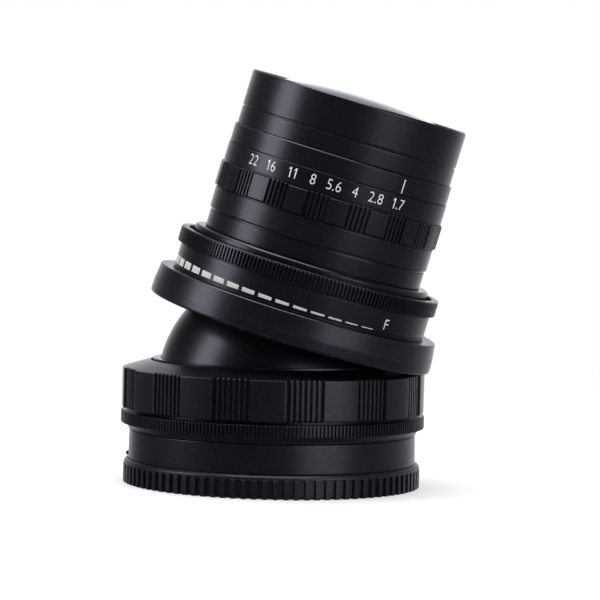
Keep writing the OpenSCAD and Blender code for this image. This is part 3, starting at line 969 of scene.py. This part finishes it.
barrel = Measure("main_barrel", HEAD)
JOURNAL_R, CELL_R, LIGHT_BORE, BARREL_BORE = 21.9, 20.9, 18.65, 21.56
BAND_EDGE, SMALL_BAND = 23.2, 22.85
barrel_piece = lathe(
    "barrel_shell",
    [
        [(BARREL_BORE, barrel.low, 0.1)]
        + thread(23.55, BAND_EDGE, barrel.low + 0.2, 26.5, 0.8)
        + [
            (SHOULDER_SEAT, 26.75, 0.04),
            (SHOULDER_SEAT, 28.23, 0.04),
            (BAND_EDGE, 28.25, 0.08),
            (BAND_EDGE, 31.68, 0.06),
            (SMALL_BAND, 31.7, 0.03),
            (SMALL_BAND, 32.05, 0.03),
            (JOURNAL_R, 32.06, 0.04),
            (JOURNAL_R, barrel.high, 0.12),
            (CELL_R, barrel.high, 0.12),
            (CELL_R, 39.5, 0.05),
            (LIGHT_BORE, 39.5, 0.05),
            (LIGHT_BORE, 38.3, 0.05),
            (CELL_R, 38.3, 0.05),
            (CELL_R, 27.9, 0.05),
            (LIGHT_BORE, 27.9, 0.05),
            (LIGHT_BORE, 26.3, 0.05),
            (BARREL_BORE, 26.3, 0.05),
        ]
    ],
    place=HEAD,
)
carve(
    barrel_piece,
    block((-30, -1.5, 17.5), (-18, 1.5, 22.6)),
    arc_block(20.0, 23.0, 41.75, 43.6, 136, 229),
    outwards(0.8, 19.0, 23.0, 34.5, 60),
)
settle(barrel_piece, "anodised_black", "barrel", "main_barrel")

# ---- aperture ring and front

iris = Measure("aperture_ring", HEAD)
IRIS_BORE, SEATED_BORE = JOURNAL_R + 0.06, JOURNAL_R + 0.02
PAD_LOW, PAD_HIGH = 36.9, 42.2
LOW_BAND, LOW_GROOVE, HIGH_GROOVE, PAD_FOOT, NUMBER_R = 23.5, 23.1, 23.35, 23.37, 23.55


def iris_section(radius, inset):
    return [
        (IRIS_BORE, iris.low, 0.05),
        (LOW_BAND - 0.2, iris.low, 0.08),
        (LOW_BAND, iris.low + 0.2, 0.08),
        (LOW_BAND, PAD_LOW - 0.22, 0.08),
        (LOW_GROOVE, PAD_LOW - 0.2, 0.02),
        (LOW_GROOVE, PAD_LOW - 0.02, 0.02),
        (max(radius - 0.1, PAD_FOOT), PAD_LOW + inset, 0.05),
        (radius, PAD_LOW + inset + 0.1, 0.08),
        (radius, PAD_HIGH - inset - 0.1, 0.08),
        (max(radius - 0.1, PAD_FOOT), PAD_HIGH - inset, 0.05),
        (HIGH_GROOVE, PAD_HIGH + 0.02, 0.02),
        (HIGH_GROOVE, PAD_HIGH + 0.22, 0.02),
        (NUMBER_R, PAD_HIGH + 0.24, 0.08),
        (NUMBER_R, iris.high - 0.06, 0.04),
        (NUMBER_R - 0.06, iris.high, 0.03),
        (IRIS_BORE, iris.high, 0.05),
    ]


turned_part(
    "iris_grip",
    [iris_section(23.4, 0.1), iris_section(23.85, 0.0), iris_section(iris.r, 0.18)],
    "anodised_black",
    "aperture_ring",
    "aperture_ring",
    around=padded(17, 10.1, 0.35, 4, SCALE_SIDE + 3.2),
    place=HEAD,
    sharp=KNURL_SHARP,
)

index = Measure("index_ring", HEAD)
index_section = [
    (SEATED_BORE, index.low, 0.05),
    (index.r, index.low, 0.05),
    (index.r, index.high - 0.2, 0.08),
    (index.r - 0.22, index.high, 0.06),
    (SEATED_BORE, index.high, 0.05),
]
turned_part("index_band", [index_section], "anodised_black", "barrel", "index_ring", place=HEAD)

upper = Measure("upper_ring", HEAD)
upper_section = [
    (SEATED_BORE, upper.low, 0.05),
    (upper.r, upper.low, 0.14),
    (upper.r, upper.high, 0.14),
    (SEATED_BORE, upper.high, 0.05),
]
turned_part("upper_band", [upper_section], "anodised_black", "barrel", "upper_ring", place=HEAD)

front = Measure("front_barrel", HEAD)
FILTER_R, GLASS_BORE, LEDGE_LOW, LEDGE_HIGH = 21.1, 19.62, 56.5, 58.0
front_section = [
    (SEATED_BORE, front.low, 0.05),
    (front.r - 0.25, front.low, 0.05),
    (front.r - 0.25, front.low + 0.3, 0.04),
    (front.r, front.low + 0.32, 0.14),
    (front.r, front.high - 0.35, 0.16),
    (front.r - 0.3, front.high, 0.16),
    (FILTER_R + 0.45, front.high, 0.1),
    *thread(FILTER_R + 0.3, FILTER_R, front.high - 0.3, 59.2, 0.75),
    (FILTER_R, 58.9, 0.03),
    (FILTER_R, LEDGE_HIGH, 0.05),
    (GLASS_BORE, LEDGE_HIGH, 0.05),
    (GLASS_BORE, LEDGE_LOW, 0.05),
    (SEATED_BORE, LEDGE_LOW, 0.05),
]
turned_part("front_shell", [front_section], "anodised_black", "barrel", "front_barrel", place=HEAD)

cone = Measure("filter_ring", HEAD)
CONE_OUT, CONE_IN, CONE_FOOT, CONE_COUNT = 20.8, 17.75, 59.6, 5
CONE_R, CONE_BORE, CONE_LIP, CONE_LIP_LOW = 21.05, 18.3, 17.08, 60.5
cone_section = [
    (CONE_BORE, cone.low, 0.05), (CONE_R, cone.low, 0.05), (CONE_R, CONE_FOOT, 0.05)
]
for number in range(CONE_COUNT):
    share = number / CONE_COUNT
    r, z = CONE_OUT + (CONE_IN - CONE_OUT) * share, CONE_FOOT + (cone.high - CONE_FOOT) * share
    cone_section += [(r, z, 0.03), (r - 0.42, z + 0.02, 0.04)]
cone_section += [
    (17.6, cone.high, 0.08),
    (CONE_LIP, cone.high, 0.06),
    (CONE_LIP, CONE_LIP_LOW, 0.03),
    (CONE_BORE, CONE_LIP_LOW, 0.03),
]
turned_part("front_cone", [cone_section], "inner_black", "barrel", "filter_ring", place=HEAD)

dome = Measure("glass_1", HEAD)
DOME_R, DOME_STEPS = 92.0, 18
glass_section = [(0.0, dome.low, 0.0), (dome.r - 0.3, dome.low, 0.1), (dome.r, dome.low + 0.3, 0.1)]
for i in range(DOME_STEPS):
    r = dome.r * cos(pi / 2 * i / DOME_STEPS)
    z = dome.high - DOME_R + sqrt(DOME_R**2 - r**2)
    glass_section.append((r, z, 0.0 if i else 0.12))
glass_section.append((0.0, dome.high, 0.0))
turned_part(
    "front_glass",
    [glass_section],
    "optical_glass",
    "barrel",
    "glass_1",
    around=plain(240),
    place=HEAD,
    closed=False,
)

# ---- marks

PAINT_OUT, PAINT_IN = 0.014, -0.03      # faces of the paint in mm above the cylinder
PAINT_SHARP = 40.0


def wrapped(name, shapes, body):
    """Thin closed marks laid on cylinders of the head.

    shapes is a list of (points, faces, radius): flat points are (angle in radians, height in mm).
    """
    points, faces = [], []
    for flat, cells, radius in shapes:
        shift, count = len(points), len(flat)
        for lift in (PAINT_OUT, PAINT_IN):
            for angle, height in flat:
                r = (radius + lift) * MM
                points.append((r * cos(angle), r * sin(angle), height * MM))
        sides = {}
        for cell in cells:
            faces.append(tuple(shift + v for v in cell))
            faces.append(tuple(shift + count + v for v in reversed(cell)))
            for a, b in zip(cell, cell[1:] + cell[:1]):
                if (b, a) in sides:
                    del sides[(b, a)]
                else:
                    sides[(a, b)] = True
        for a, b in sides:
            faces.append((shift + a, shift + count + a, shift + count + b, shift + b))
    piece = new_piece(name, points, faces, place=HEAD, sharp=PAINT_SHARP)
    settle(piece, "scale_paint", body)


def strip(start, end, low, high, steps=10):
    """A rectangle between two angles in degrees from the scale side and two heights in mm"""
    flat, cells = [], []
    for i in range(steps + 1):
        a = radians(SCALE_SIDE + start + (end - start) * i / steps)
        flat += [(a, low), (a, high)]
    for i in range(steps):
        cells.append((2 * i, 2 * i + 2, 2 * i + 3, 2 * i + 1))
    return flat, cells


ONE_WIDE, STROKE = 0.29, 0.13       # width of the figure 1, and of a stroke or a point
THINNER = -0.012                    # offset that thins the font's strokes
SLICE = 0.08                        # largest width of a cell, so that it can follow a cylinder
GAP, POINT_GAP, ONE_GAP, TWO_ONES_GAP = 0.16, 0.19, 0.29, 0.36


def glyph(character):
    """Points and cells of one character, 1 unit tall, that starts at x = 0"""
    if character == "1":
        left, right = ONE_WIDE - STROKE, ONE_WIDE
        points = [
            (left, 0), (right, 0), (right, 1), (left, 1), (left, 0.82), (0.0, 0.72), (0.0, 0.86)
        ]
        return points, [(0, 1, 2, 3, 4), (4, 3, 6, 5)], ONE_WIDE
    if character == ".":
        return [(0, 0), (STROKE, 0), (STROKE, STROKE), (0, STROKE)], [(0, 1, 2, 3)], STROKE
    curve = bpy.data.curves.new("glyph", "FONT")
    curve.body, curve.size, curve.offset = character, 1.0, THINNER
    curve.resolution_u = 8
    holder = bpy.data.objects.new("glyph", curve)
    link(holder)
    graph = bpy.context.evaluated_depsgraph_get()
    mesh = bpy.data.meshes.new_from_object(holder.evaluated_get(graph))
    bpy.data.objects.remove(holder)
    shape = bmesh.new()
    shape.from_mesh(mesh)
    bmesh.ops.remove_doubles(shape, verts=shape.verts, dist=1e-5)
    xs, ys = [v.co.x for v in shape.verts], [v.co.y for v in shape.verts]
    left, floor, size = min(xs), min(ys), 1 / (max(ys) - min(ys))
    x = left
    while x < max(xs):
        x += SLICE
        parts = shape.verts[:] + shape.edges[:] + shape.faces[:]
        bmesh.ops.bisect_plane(shape, geom=parts, plane_co=(x, 0, 0), plane_no=(1, 0, 0))
    shape.verts.index_update()
    points = [((v.co.x - left) * size, (v.co.y - floor) * size) for v in shape.verts]
    cells = []
    for face in shape.faces:
        cell = tuple(v.index for v in face.verts)
        cells.append(cell if face.normal.z > 0 else tuple(reversed(cell)))
    shape.free()
    return points, cells, (max(xs) - left) * size


def gap_in(pair):
    """Room between two characters, as a share of their height"""
    if pair == "11":
        return TWO_ONES_GAP
    if "1" in pair:
        return ONE_GAP
    return POINT_GAP if "." in pair else GAP


def lettering(text, angle, base, height, radius, width):
    """Numbers or a letter centred on an angle, standing on a height"""
    points, cells, cursor = [], [], 0.0
    for place, character in enumerate(text):
        if place:
            cursor += gap_in(text[place - 1 : place + 1])
        shape, faces, advance = glyph(character)
        cells += [tuple(v + len(points) for v in face) for face in faces]
        points += [(cursor + x, y) for x, y in shape]
        cursor += advance
    middle = radians(SCALE_SIDE + angle)
    flat = [
        (middle + (x - cursor / 2) * height * width / radius, base + y * height) for x, y in points
    ]
    return flat, cells, radius


# each stop and its angle from the scale side
STOPS = [
    ("22", -48.1), ("16", -35.9), ("11", -23.5), ("8", -12.4),
    ("5.6", -1.6), ("4", 9.1), ("2.8", 20.2), ("1.7", 33.2),
]
NUMBER_BASE, NUMBER_TALL, NUMBER_WIDTH = 43.5, 2.1, 0.86
wrapped(
    "aperture_numbers",
    [
        lettering(text, angle, NUMBER_BASE, NUMBER_TALL, NUMBER_R, NUMBER_WIDTH)
        for text, angle in STOPS
    ],
    "aperture_ring",
)

INDEX_ANGLE, INDEX_HALF, INDEX_LOW, INDEX_HIGH = 33.2, 0.27, 46.8, 49.7
line = strip(INDEX_ANGLE - INDEX_HALF, INDEX_ANGLE + INDEX_HALF, INDEX_LOW, INDEX_HIGH, 2)
wrapped("index_line", [(*line, index.r)], "barrel")

DASH_COUNT, DASH_BASE, DASH_PITCH, DASH_LONG, DASH_LAST = 17, 19.05, 7.917, 6.05, 34.35
DASH_THIN, DASH_THICK = 0.14, 1.7
FAR_ANGLE, FAR_BASE, FAR_TALL, FAR_WIDTH = 40.9, 19.55, 2.12, 0.95


def dash_height(angle):
    """The row of dashes grows thicker away from its thin end"""
    back = DASH_LAST - angle
    return min(DASH_THICK, DASH_THIN + 0.0095 * back + 0.00004 * back**2)


dashes = []
for number in range(DASH_COUNT):
    end = DASH_LAST - number * DASH_PITCH
    flat, cells = strip(end - DASH_LONG, end, DASH_BASE, DASH_BASE)
    flat = [
        (a, DASH_BASE + (i % 2) * dash_height(degrees(a) - SCALE_SIDE))
        for i, (a, _) in enumerate(flat)
    ]
    dashes.append((flat, cells, BAND_R))
dashes.append(lettering("F", FAR_ANGLE, FAR_BASE, FAR_TALL, BAND_R, FAR_WIDTH))
wrapped("distance_marks", dashes, "focus_ring")

# ---- stage

FLOOR_STEPS, FLOOR_RINGS = 64, [0.05, 0.1, 0.17, 0.25]
FLOOR_DARK, FLOOR_LIGHT, FLOOR_GLOW = (0.76, 0.76, 0.79, 1.0), (0.79, 0.79, 0.82, 1.0), 0.3
floor_mesh = bpy.data.meshes.new("floor")
floor_points, floor_faces = [(0.0, 0.0, 0.0)], []
for radius in FLOOR_RINGS:
    for i in range(FLOOR_STEPS):
        a = 2 * pi * i / FLOOR_STEPS
        floor_points.append((radius * cos(a), radius * sin(a), 0.0))
for i in range(FLOOR_STEPS):
    j = (i + 1) % FLOOR_STEPS
    floor_faces.append((0, 1 + i, 1 + j))
    for ring in range(len(FLOOR_RINGS) - 1):
        inner, outer = 1 + ring * FLOOR_STEPS, 1 + (ring + 1) * FLOOR_STEPS
        floor_faces.append((inner + i, outer + i, outer + j, inner + j))
floor_mesh.from_pydata(floor_points, [], floor_faces)
floor = bpy.data.objects.new("floor", floor_mesh)
link(floor)
paper, tree, shader = new_material("floor_paper")
paper_place = tree.nodes.new("ShaderNodeTexCoord").outputs["Object"]
fibre = noise(tree, paper_place, 900, 3.0, 0.6)
paper_tone = mix(tree, spread(tree, fibre, 0.3, 0.7), FLOOR_DARK, FLOOR_LIGHT)
paper_rough = spread(tree, fibre, 0.3, 0.7, 0.75, 0.9)
put(tree, shader, {"Base Color": paper_tone, "Roughness": paper_rough, "Specular IOR Level": 0.2})
put(tree, shader, {"Emission Color": grey(1.0), "Emission Strength": FLOOR_GLOW})
floor_mesh.materials.append(paper)
floor.visible_glossy = False

# ---- camera

# metres and degrees, solved from the curves of the ring edges
CAMERA_DISTANCE, CAMERA_AZIMUTH, CAMERA_HEIGHT = 0.590, 7.85, 0.06744
AIM_RIGHT, AIM_HEIGHT, CAMERA_ROLL = 0.00513, 0.03845, 1.436
LENS_MM, SENSOR_MM = 169.59, 36.0
turn = radians(CAMERA_AZIMUTH)
across = Vector((cos(turn), sin(turn), 0))
spot = Vector((CAMERA_DISTANCE * sin(turn), -CAMERA_DISTANCE * cos(turn), CAMERA_HEIGHT))
aim = across * AIM_RIGHT + Vector((0, 0, AIM_HEIGHT))
look = (aim - spot).normalized()
flat_right = look.cross(Vector((0, 0, 1))).normalized()
flat_up = flat_right.cross(look)
roll = radians(CAMERA_ROLL)
right = flat_right * cos(roll) + flat_up * sin(roll)
up = flat_up * cos(roll) - flat_right * sin(roll)
camera_data = bpy.data.cameras.new("camera")
camera_data.lens, camera_data.sensor_width = LENS_MM, SENSOR_MM
camera_data.clip_start, camera_data.clip_end = 0.05, 50.0
camera = bpy.data.objects.new("camera", camera_data)
camera.matrix_world = Matrix.Translation(spot) @ Matrix(
    ((right.x, up.x, -look.x), (right.y, up.y, -look.y), (right.z, up.z, -look.z))
).to_4x4()
link(camera)
bpy.context.scene.camera = camera

# ---- light

bpy.context.scene.view_settings.view_transform = "Standard"

# The room's brightness by direction: degrees from the camera's side, positive to the right
ROOM = [
    (-180, 1.7), (-166, 1.1), (-143, 0.22), (-125, 0.11), (-60, 0.10), (-20, 0.06), (0, 0.08),
    (20, 0.15), (60, 0.19), (90, 0.18), (115, 0.25), (138, 0.50), (162, 1.0), (180, 1.7),
]
ROOM_TINT = (1.01, 0.99, 1.02)
world = bpy.data.worlds.new("studio")
bpy.context.scene.world = world
world.use_nodes = True
tree = world.node_tree
sky = tree.nodes["Background"]
direction = tree.nodes.new("ShaderNodeTexCoord").outputs["Generated"]
toward = Vector((sin(turn), -cos(turn), 0))
ahead = add(tree, "VectorMath", {0: direction, 1: toward}, operation="DOT_PRODUCT")
ahead = ahead.node.outputs["Value"]
aside = add(tree, "VectorMath", {0: direction, 1: across}, operation="DOT_PRODUCT")
aside = aside.node.outputs["Value"]
bearing = maths(tree, "ARCTAN2", aside, ahead)
ramp = tree.nodes.new("ShaderNodeValToRGB")
tree.links.new(spread(tree, bearing, -pi, pi), ramp.inputs[0])
stops = ramp.color_ramp.elements
while len(stops) < len(ROOM):
    stops.new(0.5)
for stop, (angle, level) in zip(stops, ROOM):
    stop.position = (angle + 180) / 360
    stop.color = (*[level * share for share in ROOM_TINT], 1.0)
to_camera = tree.nodes.new("ShaderNodeLightPath").outputs["Is Camera Ray"]
upward = tree.nodes.new("ShaderNodeSeparateXYZ")
tree.links.new(direction, upward.inputs[0])
# the backdrop is bright near the table and falls off above and below it
falloff = spread(tree, upward.outputs[2], 0.10, 0.34, 1.0, 0.40)
falloff = times(tree, falloff, spread(tree, upward.outputs[2], -0.45, -0.10, 0.5, 1.0))
shaded = mix(tree, falloff, grey(0.0), ramp.outputs[0])
tree.links.new(mix(tree, to_camera, shaded, grey(1.0)), sky.inputs["Color"])


def softbox(name, azimuth, distance, low, high, width, radiance, target):
    """An area light that faces a height on the axis, in metres.

    azimuth is in degrees from the camera, positive to the right.
    """
    a = radians(CAMERA_AZIMUTH + azimuth)
    tall = high - low
    light = bpy.data.lights.new(name, "AREA")
    light.shape, light.size, light.size_y = "RECTANGLE", width, tall
    light.energy = radiance * pi * width * tall
    lamp = bpy.data.objects.new(name, light)
    place = Vector((distance * sin(a), -distance * cos(a), (low + high) / 2))
    face = Vector((0, 0, target)) - place
    facing = face.to_track_quat("-Z", "Y").to_matrix().to_4x4()
    lamp.matrix_world = Matrix.Translation(place) @ facing
    link(lamp)


softbox(
    "softbox_left", -77, distance=0.8, low=0.10, high=0.80, width=0.36, radiance=3.6, target=0.4
)
softbox(
    "softbox_right", 41, distance=0.8, low=-0.05, high=0.40, width=0.52, radiance=1.75, target=0.15
)
softbox(
    "softbox_top", 180, distance=0.05, low=0.70, high=1.90, width=1.2, radiance=5.0, target=0.0
)
